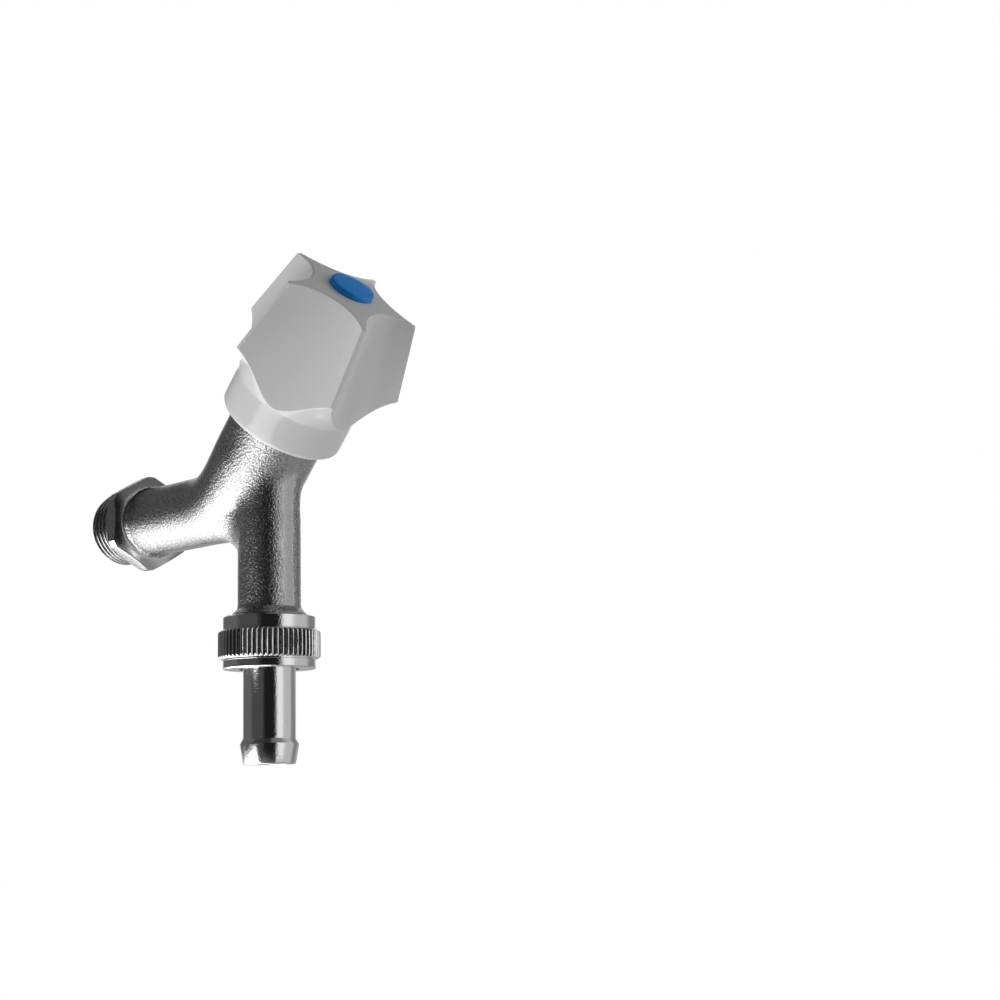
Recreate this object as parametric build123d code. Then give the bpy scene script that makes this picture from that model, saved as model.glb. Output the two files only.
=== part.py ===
from build123d import *
import os
from math import asin, cos, hypot, pi, radians, sin, sqrt, tan

# Slanted wall tap with a hose union, in millimetres.
# The origin is on the inlet axis, where the inlet thread meets the hexagon's shoulder.
# +Y points into the wall, +Z is up, and the tap is symmetric about X = 0 apart from its handle.
# Heights on the stem are measured along the stem axis, from where it leaves the inlet axis.

# Thread sizes: G 1/2 pipe thread at the inlet and under the union nut
thread_major = 20.955
thread_truncation = 0.05  # taken off the radius of a plain cylinder that stands for a thread

# Clearances, on the radius, and how far a cutting solid runs past what it cuts
running_clearance = 0.05
static_clearance = 0.05
nut_clearance = 0.06
cut_margin = 1.0

# Casting, outside
inlet_thread_length = 10.8
inlet_thread_chamfer = 1.0
inlet_hex_flats = 24.0
inlet_hex_width = 6.3
inlet_hex_chamfer = 1.1
hex_chamfer_angle = 30.0
inlet_tube_radius = 9.5
stem_root = 47.6  # from the shoulder to the corner of the inlet and stem axes
stem_tilt = 45.0  # from upright, towards the front
stem_tube_radius = 12.9
stem_tube_end = 34.0  # height of the stem tube's mouth
stem_tube_mouth_chamfer = 0.6
bend_radius = 38.0  # centre line of the bend from the inlet into the stem
bend_sections = 7
outlet_reach = 61.2  # from the shoulder to the outlet axis
outlet_tube_radius = 8.2
outlet_blend = 6.5  # fillet where the outlet leaves the bend
heel_blend = 12.0  # fillet under the inlet, behind the outlet
heel_inset = 0.1  # the heel's lowest line lies this far inside the inlet tube's
heel_lap = 2.0  # the heel starts this far inside the inlet tube
heel_end_radius = 7.6
heel_drop = 0.8  # the heel's lowest line falls by this on its way to the outlet
outlet_shoulder_drop = 31.2  # from the inlet axis down to the outlet thread
outlet_shoulder_flare = 2.0
outlet_thread_length = 7.0
outlet_thread_chamfer = 0.6

# Casting, waterways
inlet_bore_radius = 7.95
inlet_passage_radius = 5.5
inlet_passage_end = 44.0  # centre of the passage's round end, from the shoulder
seat_hole_radius = 4.2
seat_hole_depth = 9.0
seat_height = 6.0
seat_lip_height = 1.0
seat_lip_width = 1.4
chamber_radius = 8.9
outlet_bore_radius = 5.0

# Non-return valve in the inlet
valve_recess = 2.5  # from the thread's end to the valve's face
cage_length = 11.2
cage_face_thickness = 2.0
cage_wall = 1.75
cage_seat_hole_radius = 4.6
cage_edge_chamfer = 0.4
check_ring_section = 0.65
check_ring_setback = 5.4
poppet_gap = 0.2
poppet_recess = 0.3
poppet_flange_radius = 5.45
poppet_flange_thickness = 1.2
poppet_stem_radius = 1.6
poppet_stem_length = 8.0
poppet_hole_radius = 1.9
poppet_hole_depth = 2.0
poppet_pilot_radius = 1.1
poppet_pilot_depth = 1.2
poppet_travel = 3.0
poppet_end_gap = 0.8  # left over the guide's hub when the valve is open
check_seal_thickness = 1.0
check_seal_overhang = 0.25
guide_thickness = 2.0
guide_hub_radius = 2.6
guide_ring_width = 1.9
guide_spoke_width = 1.6
guide_spokes = 3
spring_wire_radius = 0.3
spring_wire_sides = 4
spring_coil_clearance = 0.4
spring_turns = 5

# Headwork: bonnet, spindle and plug
bonnet_depth = 16.0  # below the stem tube's mouth
bonnet_thread_runout = 1.0
bonnet_thread_radius = 9.6
bonnet_gasket_thickness = 1.0
bonnet_gasket_width = 1.8
bonnet_hex_flats = 20.0
bonnet_hex_height = 6.0
bonnet_hex_chamfer = 0.6
bonnet_neck_radius = 7.0
bonnet_neck_height = 7.0
bonnet_roof = 9.4  # thickness over the spindle's flange, from the pocket to the neck's top
spindle_radius = 4.9
spindle_flange_gap = 0.2  # between the flange and the hexagonal bore that it turns in
spindle_flange_thickness = 2.0
spindle_washer_thickness = 0.8
spindle_washer_lap = 1.0
spindle_thread_radius = 3.55
spindle_thread_length = 15.3
spindle_square_flats = 7.0
spindle_end_chamfer = 0.5
stem_ring_section = 0.75
stem_ring_spacing = 3.4
stem_ring_margin = 2.2
ring_groove_side = 0.1
ring_squeeze = 0.02
o_ring_sides = 8
clip_thickness = 0.8
clip_lap = 1.3
clip_groove_depth = 0.7
clip_shoulder = 0.8  # spindle left above the clip
clip_mouth = 60.0  # degrees left open
plug_lift = 4.0
plug_end_gap = 1.8  # left under the spindle's flange when the plug is up
plug_disc_radius = 7.4
plug_disc_thickness = 3.0
plug_hex_flats = 12.0
plug_hex_clearance = 0.15
plug_bore_depth = 14.0
plug_stud_radius = 1.95
plug_stud_length = 5.6
seat_washer_thickness = 3.0
seat_washer_lap = 1.4  # past the seat's lip
washer_nut_flats = 6.0
washer_nut_height = 2.2

# Handle
handle_lobes = 5
handle_phase = 37.0  # turn of the first lobe from +X, about the stem axis
handle_height = 40.9
handle_skirt_overlap = 7.4  # the skirt hides this much of the stem tube
skirt_radius = 16.6
skirt_wall = 1.7
skirt_edge_round = 1.5
skirt_height = 9.8
lobe_foot_height = 20.2  # above the skirt's lower edge
lobe_foot_radius = 24.1
neck_curve_radius = 16.0  # of the hollow curve under the lobes
lobe_top_radius = 18.8
lobe_tip_width = 1.3
lobe_tip_rise = 0.45
flute_floor_radius = 10.6  # at the top face
flute_foot_rise = 0.2  # the flutes' floors stand this far out of the skirt where they reach it
top_dome_rise = 1.1
cavity_roof = 10.2  # from the ceiling to the edge of the top face
cavity_end_radius = 9.0
hub_radius = 7.0
socket_clearance = 0.08
socket_headroom = 0.4
screw_floor_thickness = 1.5
screw_well_radius = 4.5

# Handle screw and index cap
screw_radius = 1.95
screw_length = 9.0
screw_head_radius = 3.6
screw_head_height = 2.3
screw_head_chamfer = 0.5
screw_hole_clearance = 0.2
screw_head_gap = 1.0  # under the cap's peg
screw_slot_width = 0.9
screw_slot_depth = 1.0
cap_radius = 5.9
cap_recess_depth = 1.6
cap_stand = 1.5  # stands proud of the handle
cap_edge_chamfer = 0.4
cap_peg_wall = 0.9
cap_peg_length = 2.0

# Hose union
nut_gap = 0.1  # under the casting's shoulder
nut_radius = 12.0
nut_collar_height = 3.7
nut_knurl_radius = 13.2
nut_knurl_height = 7.3
nut_knurl_depth = 0.5
nut_knurl_teeth = 60
nut_knurl_chamfer = 0.7
nut_edge_chamfer = 0.35
nut_lip_thickness = 2.2
hose_gasket_thickness = 2.0
tail_flange_radius = 9.9
tail_flange_thickness = 2.5
tail_neck_radius = 6.78
tail_bore_radius = 5.0
tail_drop = 26.5  # from the flange's underside to the end
barb_radius = 7.59
barb_end_radius = 6.67
barb_length = 5.3
barb_shoulder_slope = 1.3
barb_clearance = 0.15  # the nut passes over the barb

# Places worked out from the sizes above
thread_radius = thread_major / 2
tilt = radians(stem_tilt)
stem_direction = Vector(0, -sin(tilt), cos(tilt))
stem = Plane(origin=(0, -stem_root, 0), x_dir=(1, 0, 0), z_dir=stem_direction)
inlet = Plane(origin=(0, 0, 0), x_dir=(1, 0, 0), z_dir=(0, 1, 0))
outlet = Plane(origin=(0, -outlet_reach, 0), x_dir=(1, 0, 0), z_dir=(0, 0, 1))
stem_over_outlet = (outlet_reach - stem_root) / tan(tilt)
outlet_tube_top = stem_over_outlet - outlet_tube_radius  # all of it is inside the stem tube
outlet_end = outlet_shoulder_drop + outlet_thread_length

valve_face = inlet_thread_length - valve_recess
cage_back = valve_face - cage_length
guide_back = cage_back - guide_thickness
cage_radius = inlet_bore_radius - static_clearance
cage_inner_radius = cage_radius - cage_wall
cage_seat = valve_face - cage_face_thickness
poppet_face = valve_face - poppet_recess
flange_front = cage_seat - check_seal_thickness
flange_back = flange_front - poppet_flange_thickness
poppet_boss_radius = cage_seat_hole_radius - poppet_gap
guide_hub_end = flange_back - poppet_travel - poppet_end_gap

chamber_floor = seat_height - seat_lip_height
washer_top = seat_height + seat_washer_thickness
disc_top = washer_top + plug_disc_thickness
bonnet_bottom = stem_tube_end - bonnet_depth
bonnet_seat = stem_tube_end + bonnet_gasket_thickness
neck_bottom = bonnet_seat + bonnet_hex_height
neck_top = neck_bottom + bonnet_neck_height
pocket_roof = neck_top - bonnet_roof
flange_top = pocket_roof - spindle_washer_thickness
flange_bottom = flange_top - spindle_flange_thickness
plug_top = flange_bottom - plug_lift - plug_end_gap
square_bottom = neck_top + clip_thickness + clip_shoulder
spindle_bore_radius = spindle_radius + running_clearance
plug_hole_flats = plug_hex_flats + 2 * plug_hex_clearance
mouth_bore_radius = bonnet_thread_radius + static_clearance

handle_bottom = stem_tube_end - handle_skirt_overlap
handle_top = handle_bottom + handle_height
skirt_top = handle_bottom + skirt_height
lobe_foot = handle_bottom + lobe_foot_height
cavity_radius = skirt_radius - skirt_wall
cavity_ceiling = handle_top - cavity_roof
cap_floor = handle_top + top_dome_rise - cap_recess_depth
screw_floor = cap_floor - cap_peg_length - screw_head_gap - screw_head_height
socket_top = screw_floor - screw_floor_thickness
spindle_top = socket_top - socket_headroom
cap_recess_radius = cap_radius + static_clearance

nut_top = -outlet_shoulder_drop - nut_gap
nut_bore_radius = thread_radius + nut_clearance
gasket_top = -outlet_end
tail_top = gasket_top - hose_gasket_thickness
flange_underside = tail_top - tail_flange_thickness
nut_bottom = flange_underside - nut_lip_thickness
lip_bore_radius = barb_radius + barb_clearance
tail_end = flange_underside - tail_drop
barb_top = tail_end + barb_length


def turned(points):
    """Solid turned about Z from a closed outline of (radius, height) points, repeats left out."""
    corners = [point for place, point in enumerate(points) if point != points[place - 1]]
    outline = make_face(Polyline(*corners, close=True))
    return revolve(Plane.XZ * outline, Axis.Z)


def rod(radius, low, high):
    """Cylinder on Z between two heights."""
    return Pos(0, 0, low) * Cylinder(radius, high - low, align=(Align.CENTER, Align.CENTER, Align.MIN))


def ring(inner, outer, low, high):
    """Tube on Z between two heights."""
    return rod(outer, low, high) - rod(inner, low, high)


def hexagon(flats, low, high, turn=0):
    """Hexagonal bar on Z between two heights, given across its flats."""
    outline = RegularPolygon(flats / 2, 6, major_radius=False, rotation=turn)
    return extrude(Pos(0, 0, low) * outline, high - low)


def chamfered_rod(radius, low, high, low_chamfer, high_chamfer):
    """Cylinder on Z whose two ends are chamfered at 45 degrees."""
    return turned(
        [
            (0, low),
            (radius - low_chamfer, low),
            (radius, low + low_chamfer),
            (radius, high - high_chamfer),
            (radius - high_chamfer, high),
            (0, high),
        ]
    )


def turned_hexagon(flats, low, high, chamfer, turn=0):
    """Hexagonal bar with the corners of both ends turned off to a cone."""
    face_radius = flats / 2 - chamfer
    corner_radius = flats / sqrt(3) + cut_margin
    slope = (corner_radius - face_radius) * tan(radians(hex_chamfer_angle))
    blank = turned(
        [
            (0, low),
            (face_radius, low),
            (corner_radius, low + slope),
            (corner_radius, high - slope),
            (face_radius, high),
            (0, high),
        ]
    )
    return hexagon(flats, low, high, turn) & blank


def o_ring(inner, section):
    """Rubber ring about Z at height 0, given its inner radius and half its width."""
    half_side = 180 / o_ring_sides
    outline = RegularPolygon(section, o_ring_sides, major_radius=False, rotation=half_side)
    return revolve(Plane.XZ * Pos(inner + section, 0) * outline, Axis.Z)


def groove(floor, outer, middle, width):
    """Ring of material to cut out of a shaft for an O-ring or a clip."""
    return ring(floor, outer, middle - width / 2, middle + width / 2)


def bend_section(share):
    """Circle across the bend from the inlet to the stem, share running from 0 to 1."""
    turn = share * tilt
    run = bend_radius * tan(tilt / 2)
    centre = (0, run - stem_root - bend_radius * sin(turn), bend_radius * (1 - cos(turn)))
    growth = share * share * (3 - 2 * share)
    radius = inlet_tube_radius + (stem_tube_radius - inlet_tube_radius) * growth
    plane = Plane(origin=centre, x_dir=(1, 0, 0), z_dir=(0, -cos(turn), sin(turn)))
    return plane * Circle(radius)


def on_outlet_tube(edge):
    """True for an edge that runs round the outlet tube's wall."""
    spots = [edge @ share for share in (0, 0.5, 1)]
    return all(abs(hypot(spot.X, spot.Y + outlet_reach) - outlet_tube_radius) < 0.01 for spot in spots)


def heel_section(distance, radius, drop):
    """Circle across the heel at a distance from the shoulder, a drop below the inlet's lowest line."""
    height = radius + heel_inset - inlet_tube_radius - drop
    plane = Plane(origin=(0, -distance, height), x_dir=(1, 0, 0), z_dir=(0, -1, 0))
    return plane * Circle(radius)


def blended(casting, radius):
    """Casting with its whole seam round the outlet tube filleted."""
    seam = [edge for edge in casting.edges().filter_by(GeomType.BSPLINE) if on_outlet_tube(edge)]
    return fillet(seam, radius)


def casting_outside():
    """Inlet, bend, stem tube and outlet tube, blended as one casting with a level heel."""
    run = bend_radius * tan(tilt / 2)
    bend_start = stem_root - run
    last = bend_sections - 1
    bend = loft([bend_section(step / last) for step in range(bend_sections)])
    inlet_tube = inlet * rod(inlet_tube_radius, -bend_start, -inlet_hex_width / 2)
    stem_tube = stem * chamfered_rod(stem_tube_radius, run, stem_tube_end, 0, stem_tube_mouth_chamfer)
    outlet_tube = outlet * rod(outlet_tube_radius, -outlet_shoulder_drop, outlet_tube_top)
    heel_start = heel_section(bend_start - heel_lap, inlet_tube_radius - 2 * heel_inset, 0)
    heel_end = heel_section(outlet_reach, heel_end_radius, heel_drop)
    heel = loft([heel_start, heel_end], ruled=True)
    trunk = inlet_tube + bend + stem_tube
    return blended(trunk + outlet_tube, outlet_blend) + blended(heel + outlet_tube, heel_blend)


def make_body():
    """Casting with its threads, hexagon, waterways and valve seat."""
    thread_cylinder = thread_radius - thread_truncation
    flare_low = -outlet_shoulder_drop
    flare = outlet * turned(
        [
            (0, flare_low),
            (outlet_tube_radius + outlet_shoulder_flare, flare_low),
            (outlet_tube_radius, flare_low + outlet_shoulder_flare),
            (0, flare_low + outlet_shoulder_flare),
        ]
    )
    casting = casting_outside() + flare
    casting += inlet * turned_hexagon(
        inlet_hex_flats, -inlet_hex_width, 0, inlet_hex_chamfer, turn=30
    )
    casting += inlet * chamfered_rod(thread_radius, 0, inlet_thread_length, 0, inlet_thread_chamfer)
    casting += outlet * chamfered_rod(
        thread_cylinder, -outlet_end, -outlet_shoulder_drop, outlet_thread_chamfer, 0
    )
    casting -= inlet * rod(inlet_bore_radius, guide_back, inlet_thread_length)
    casting -= inlet * rod(inlet_passage_radius, -inlet_passage_end, guide_back)
    casting -= inlet * Pos(0, 0, -inlet_passage_end) * Sphere(inlet_passage_radius)
    casting -= stem * rod(chamber_radius, chamber_floor, stem_tube_end)
    casting -= stem * rod(mouth_bore_radius, bonnet_bottom - bonnet_thread_runout, stem_tube_end)
    casting -= outlet * rod(outlet_bore_radius, -outlet_end, stem_over_outlet)
    seat_lip_radius = seat_hole_radius + seat_lip_width
    casting += stem * rod(seat_lip_radius, chamber_floor - seat_lip_height, seat_height)
    casting -= stem * rod(seat_hole_radius, seat_height - seat_hole_depth, seat_height)
    return casting


def make_check_cage():
    """Plastic housing of the non-return valve, with its seat at the wall side."""
    cage = inlet * chamfered_rod(cage_radius, cage_back, valve_face, 0, cage_edge_chamfer)
    cage -= inlet * rod(cage_inner_radius, cage_back, cage_seat)
    cage -= inlet * rod(cage_seat_hole_radius, cage_back, valve_face)
    ring_floor = inlet_bore_radius - 2 * check_ring_section
    ring_width = 2 * (check_ring_section + ring_groove_side)
    ring_middle = valve_face - check_ring_setback
    cage -= inlet * groove(ring_floor, inlet_bore_radius, ring_middle, ring_width)
    return cage


def make_check_o_ring():
    section = check_ring_section - ring_squeeze
    inner = inlet_bore_radius - check_ring_section - section
    return inlet * Pos(0, 0, valve_face - check_ring_setback) * o_ring(inner, section)


def make_check_poppet():
    """Poppet with a boss in the seat's hole, a flange for the seal and a guided stem."""
    poppet = rod(poppet_boss_radius, flange_back, poppet_face)
    poppet += rod(poppet_flange_radius, flange_back, flange_front)
    poppet += chamfered_rod(
        poppet_stem_radius, flange_back - poppet_stem_length, flange_back, spring_wire_radius, 0
    )
    hole_bottom = poppet_face - poppet_hole_depth
    poppet -= rod(poppet_hole_radius, hole_bottom, poppet_face)
    poppet -= rod(poppet_pilot_radius, hole_bottom - poppet_pilot_depth, poppet_face)
    return inlet * poppet


def make_check_seal():
    outer = poppet_flange_radius + check_seal_overhang
    return inlet * ring(poppet_boss_radius, outer, flange_front, cage_seat)


def make_check_guide():
    """Ring and spokes behind the cage, with a hub that the poppet's stem slides in."""
    guide = ring(cage_radius - guide_ring_width, cage_radius, guide_back, cage_back)
    guide += rod(guide_hub_radius, guide_back, guide_hub_end)
    spoke_length = cage_radius - guide_ring_width / 2
    for step in range(guide_spokes):
        spoke = Pos(spoke_length / 2, 0, (guide_back + cage_back) / 2)
        bar = spoke * Box(spoke_length, guide_spoke_width, guide_thickness)
        guide += Rot(0, 0, step * 360 / guide_spokes) * bar
    guide -= rod(poppet_stem_radius + running_clearance, guide_back, guide_hub_end)
    return inlet * guide


def make_check_spring():
    """Closing spring round the guide's hub, wound as one open coil."""
    coil_radius = guide_hub_radius + spring_coil_clearance + spring_wire_radius
    low = cage_back + spring_wire_radius
    height = flange_back - spring_wire_radius - low
    coil = Helix(height / spring_turns, height, coil_radius)
    wire = Plane(origin=coil @ 0, z_dir=coil % 0) * RegularPolygon(spring_wire_radius, spring_wire_sides)
    return inlet * Pos(0, 0, low) * sweep(wire, path=coil)


def make_bonnet():
    """Headwork body: threaded barrel, hexagon and neck, with a hexagonal guide for the plug."""
    bonnet = rod(bonnet_thread_radius, bonnet_bottom, bonnet_seat)
    bonnet += turned_hexagon(bonnet_hex_flats, bonnet_seat, neck_bottom, bonnet_hex_chamfer)
    bonnet += chamfered_rod(bonnet_neck_radius, neck_bottom, neck_top, 0, bonnet_hex_chamfer)
    bonnet -= hexagon(plug_hole_flats, bonnet_bottom, pocket_roof)
    bonnet -= rod(spindle_bore_radius, pocket_roof, neck_top)
    return stem * bonnet


def make_bonnet_gasket():
    outer = mouth_bore_radius + bonnet_gasket_width
    return stem * ring(mouth_bore_radius, outer, stem_tube_end, bonnet_seat)


def stem_ring_places():
    """Heights of the spindle's two O-rings, lower one first."""
    lower = pocket_roof + stem_ring_margin
    return lower, lower + stem_ring_spacing


def make_spindle():
    """Spindle with its lifting thread, flange, O-ring and clip grooves, and square end."""
    spindle = chamfered_rod(
        spindle_thread_radius, flange_bottom - spindle_thread_length, flange_bottom, spindle_end_chamfer, 0
    )
    flange_radius = plug_hole_flats / 2 - spindle_flange_gap
    spindle += rod(flange_radius, flange_bottom, flange_top)
    spindle += rod(spindle_radius, flange_top, square_bottom)
    ring_floor = spindle_bore_radius - 2 * stem_ring_section
    ring_width = 2 * (stem_ring_section + ring_groove_side)
    for middle in stem_ring_places():
        spindle -= groove(ring_floor, spindle_radius, middle, ring_width)
    clip_middle = neck_top + clip_thickness / 2
    spindle -= groove(spindle_radius - clip_groove_depth, spindle_radius, clip_middle, clip_thickness)
    square = Pos(0, 0, square_bottom) * Box(
        spindle_square_flats,
        spindle_square_flats,
        spindle_top - square_bottom,
        align=(Align.CENTER, Align.CENTER, Align.MIN),
    )
    end = chamfered_rod(spindle_radius, square_bottom, spindle_top, 0, spindle_end_chamfer)
    spindle += square & end
    spindle -= rod(screw_radius + static_clearance, spindle_top - screw_length, spindle_top)
    return stem * spindle


def make_spindle_washer():
    outer = spindle_radius + spindle_washer_lap
    return stem * ring(spindle_radius + running_clearance, outer, flange_top, pocket_roof)


def make_stem_o_ring(middle):
    """One of the spindle's O-rings, in its groove."""
    inner = spindle_bore_radius - 2 * stem_ring_section
    section = stem_ring_section - ring_squeeze
    return stem * Pos(0, 0, middle) * o_ring(inner + ring_squeeze, section)


def make_spindle_clip():
    """Snap ring in the spindle's groove, on the bonnet's neck."""
    inner = spindle_radius - clip_groove_depth
    outer = spindle_radius + clip_lap
    clip = ring(inner, outer, neck_top, neck_top + clip_thickness)
    half = radians(clip_mouth / 2)
    reach = 2 * outer
    corners = [(0, 0), (reach, -reach * tan(half)), (reach, reach * tan(half))]
    mouth = extrude(Pos(0, 0, neck_top) * make_face(Polyline(*corners, close=True)), clip_thickness)
    return stem * (clip - mouth)


def make_valve_plug():
    """Plug that rises without turning: disc, hexagonal shank, threaded bore and washer stud."""
    plug = rod(plug_disc_radius, washer_top, disc_top)
    plug += hexagon(plug_hex_flats, disc_top, plug_top)
    plug += rod(plug_stud_radius, washer_top - plug_stud_length, washer_top)
    bore_radius = spindle_thread_radius + running_clearance
    plug -= rod(bore_radius, plug_top - plug_bore_depth, plug_top)
    return stem * plug


def make_seat_washer():
    inner = plug_stud_radius + static_clearance
    outer = seat_hole_radius + seat_lip_width + seat_washer_lap
    return stem * ring(inner, outer, seat_height, washer_top)


def make_washer_nut():
    nut = hexagon(washer_nut_flats, seat_height - washer_nut_height, seat_height)
    bore = rod(plug_stud_radius + static_clearance, seat_height - washer_nut_height, seat_height)
    return stem * (nut - bore)


def star_section(height):
    """Five-lobed outline across the handle; it shrinks steadily towards the top."""
    taper = (lobe_foot_radius - lobe_top_radius) / (handle_top - lobe_foot)
    reach = lobe_top_radius + (handle_top - height) * taper
    flute_foot_radius = skirt_radius + flute_foot_rise
    floor_taper = (flute_foot_radius - flute_floor_radius) / (handle_top - skirt_top)
    floor = flute_floor_radius + (handle_top - height) * floor_taper
    step = 2 * pi / handle_lobes
    shoulder = reach - lobe_tip_rise
    half_tip = asin(lobe_tip_width / 2 / shoulder)

    def point(radius, angle):
        return radius * cos(angle), radius * sin(angle)

    edges = []
    for lobe in range(handle_lobes):
        angle = radians(handle_phase) + lobe * step
        tip_start = point(shoulder, angle - half_tip)
        tip_end = point(shoulder, angle + half_tip)
        next_start = point(shoulder, angle + step - half_tip)
        edges.append(ThreePointArc(tip_start, point(reach, angle), tip_end))
        edges.append(ThreePointArc(tip_end, point(floor, angle + step / 2), next_start))
    return Pos(0, 0, height) * make_face(edges)


def handle_envelope():
    """Turned blank of the handle: skirt, hollow flaring neck, straight band and domed top."""
    band_radius = lobe_foot_radius + lobe_tip_rise
    low = handle_bottom
    round_start = low + skirt_edge_round
    band_top = handle_top - top_dome_rise
    apex = handle_top + top_dome_rise
    lines = [
        Line((0, low), (skirt_radius - skirt_edge_round, low)),
        RadiusArc((skirt_radius - skirt_edge_round, low), (skirt_radius, round_start), -skirt_edge_round),
        Line((skirt_radius, round_start), (skirt_radius, skirt_top)),
        RadiusArc((skirt_radius, skirt_top), (band_radius, lobe_foot), neck_curve_radius),
        Line((band_radius, lobe_foot), (band_radius, band_top)),
        ThreePointArc(
            (band_radius, band_top),
            (band_radius / 2, apex - (apex - band_top) / 4),
            (0, apex),
        ),
        Line((0, apex), (0, low)),
    ]
    return revolve(Plane.XZ * make_face(lines), Axis.Z)


def make_handle():
    """Moulded handle: fluted grip, hollow neck and skirt, hub with a square socket, screw well."""
    below = handle_bottom - cut_margin
    above = handle_top + top_dome_rise + cut_margin
    star = loft([star_section(below), star_section(above)], ruled=True)
    handle = handle_envelope() & star
    handle -= rod(cavity_radius, handle_bottom, skirt_top)
    handle -= turned(
        [
            (0, skirt_top),
            (cavity_radius, skirt_top),
            (cavity_end_radius, cavity_ceiling),
            (0, cavity_ceiling),
        ]
    )
    handle += rod(hub_radius, square_bottom, cavity_ceiling)
    socket_flats = spindle_square_flats + 2 * socket_clearance
    socket_depth = socket_top - square_bottom
    socket_align = (Align.CENTER, Align.CENTER, Align.MIN)
    handle -= Pos(0, 0, square_bottom) * Box(socket_flats, socket_flats, socket_depth, align=socket_align)
    handle -= rod(screw_radius + screw_hole_clearance, socket_top, screw_floor)
    handle -= rod(screw_well_radius, screw_floor, cap_floor)
    handle -= rod(cap_recess_radius, cap_floor, above)
    return stem * handle


def make_handle_screw():
    screw = rod(screw_radius, spindle_top - screw_length + running_clearance, screw_floor)
    head_top = screw_floor + screw_head_height
    head = chamfered_rod(screw_head_radius, screw_floor, head_top, 0, screw_head_chamfer)
    slot = Pos(0, 0, head_top - screw_slot_depth / 2) * Box(
        2 * screw_head_radius, screw_slot_width, screw_slot_depth
    )
    return stem * (screw + head - slot)


def make_index_cap():
    """Blue cap, set into the handle's top over the screw."""
    top = handle_top + top_dome_rise + cap_stand
    cap = chamfered_rod(cap_radius, cap_floor, top, 0, cap_edge_chamfer)
    peg_radius = screw_well_radius - static_clearance
    cap += ring(peg_radius - cap_peg_wall, peg_radius, cap_floor - cap_peg_length, cap_floor)
    return stem * cap


def knurled_band(low, high):
    """Straight-knurled band: a toothed bar with both ends chamfered."""
    root = nut_knurl_radius - nut_knurl_depth
    points = []
    for step in range(2 * nut_knurl_teeth):
        radius = nut_knurl_radius if step % 2 else root
        angle = pi * step / nut_knurl_teeth
        points.append((radius * cos(angle), radius * sin(angle)))
    toothed = extrude(Pos(0, 0, low) * make_face(Polyline(*points, close=True)), high - low)
    blank = chamfered_rod(nut_knurl_radius, low, high, nut_knurl_chamfer, nut_knurl_chamfer)
    return toothed & blank


def make_union_nut():
    """Turned nut with a plain collar, a knurled band and a lip that carries the hose tail."""
    knurl_top = nut_top - nut_collar_height
    nut = chamfered_rod(nut_radius, nut_bottom, nut_top, nut_edge_chamfer, nut_edge_chamfer)
    nut += knurled_band(knurl_top - nut_knurl_height, knurl_top)
    nut -= rod(nut_bore_radius, flange_underside, nut_top)
    nut -= rod(lip_bore_radius, nut_bottom, nut_top)
    return outlet * nut


def make_hose_tail():
    """Turned hose tail: flange, straight neck and one barb, with its bore."""
    tail = turned(
        [
            (tail_bore_radius, tail_top),
            (tail_flange_radius, tail_top),
            (tail_flange_radius, flange_underside),
            (tail_neck_radius, flange_underside),
            (tail_neck_radius, barb_top + barb_shoulder_slope),
            (barb_radius, barb_top),
            (barb_end_radius, tail_end),
            (tail_bore_radius, tail_end),
        ]
    )
    return outlet * tail


def make_hose_gasket():
    return outlet * ring(outlet_bore_radius, tail_flange_radius, tail_top, gasket_top)


lower_ring, upper_ring = stem_ring_places()
pieces = {
    "body": make_body(),
    "check_cage": make_check_cage(),
    "check_o_ring": make_check_o_ring(),
    "check_poppet": make_check_poppet(),
    "check_seal": make_check_seal(),
    "check_guide": make_check_guide(),
    "check_spring": make_check_spring(),
    "bonnet": make_bonnet(),
    "bonnet_gasket": make_bonnet_gasket(),
    "spindle": make_spindle(),
    "spindle_washer": make_spindle_washer(),
    "lower_o_ring": make_stem_o_ring(lower_ring),
    "upper_o_ring": make_stem_o_ring(upper_ring),
    "spindle_clip": make_spindle_clip(),
    "valve_plug": make_valve_plug(),
    "seat_washer": make_seat_washer(),
    "washer_nut": make_washer_nut(),
    "handle": make_handle(),
    "handle_screw": make_handle_screw(),
    "index_cap": make_index_cap(),
    "union_nut": make_union_nut(),
    "hose_tail": make_hose_tail(),
    "hose_gasket": make_hose_gasket(),
}

os.makedirs("parts", exist_ok=True)
for name, piece in pieces.items():
    export_step(piece, f"parts/{name}.step")
    print(name, "solids", len(piece.solids()), "volume", round(piece.volume, 2))
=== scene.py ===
# %% [markdown]
# # Slanted wall tap with a hose union
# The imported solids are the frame: they give the places and the sizes, and every piece built
# here moves with one of their bodies. The solids are plain, so this lesson dresses the ones that
# show: a cast and plated body with its pipe threads, a fluted plastic handle with a blue cap,
# a knurled union nut and a turned hose tail.

# %% Load the frame
from math import asin, ceil, cos, hypot, pi, radians, sin, sqrt, tan

import bmesh
import bpy
from mathutils import Matrix, Vector


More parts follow.
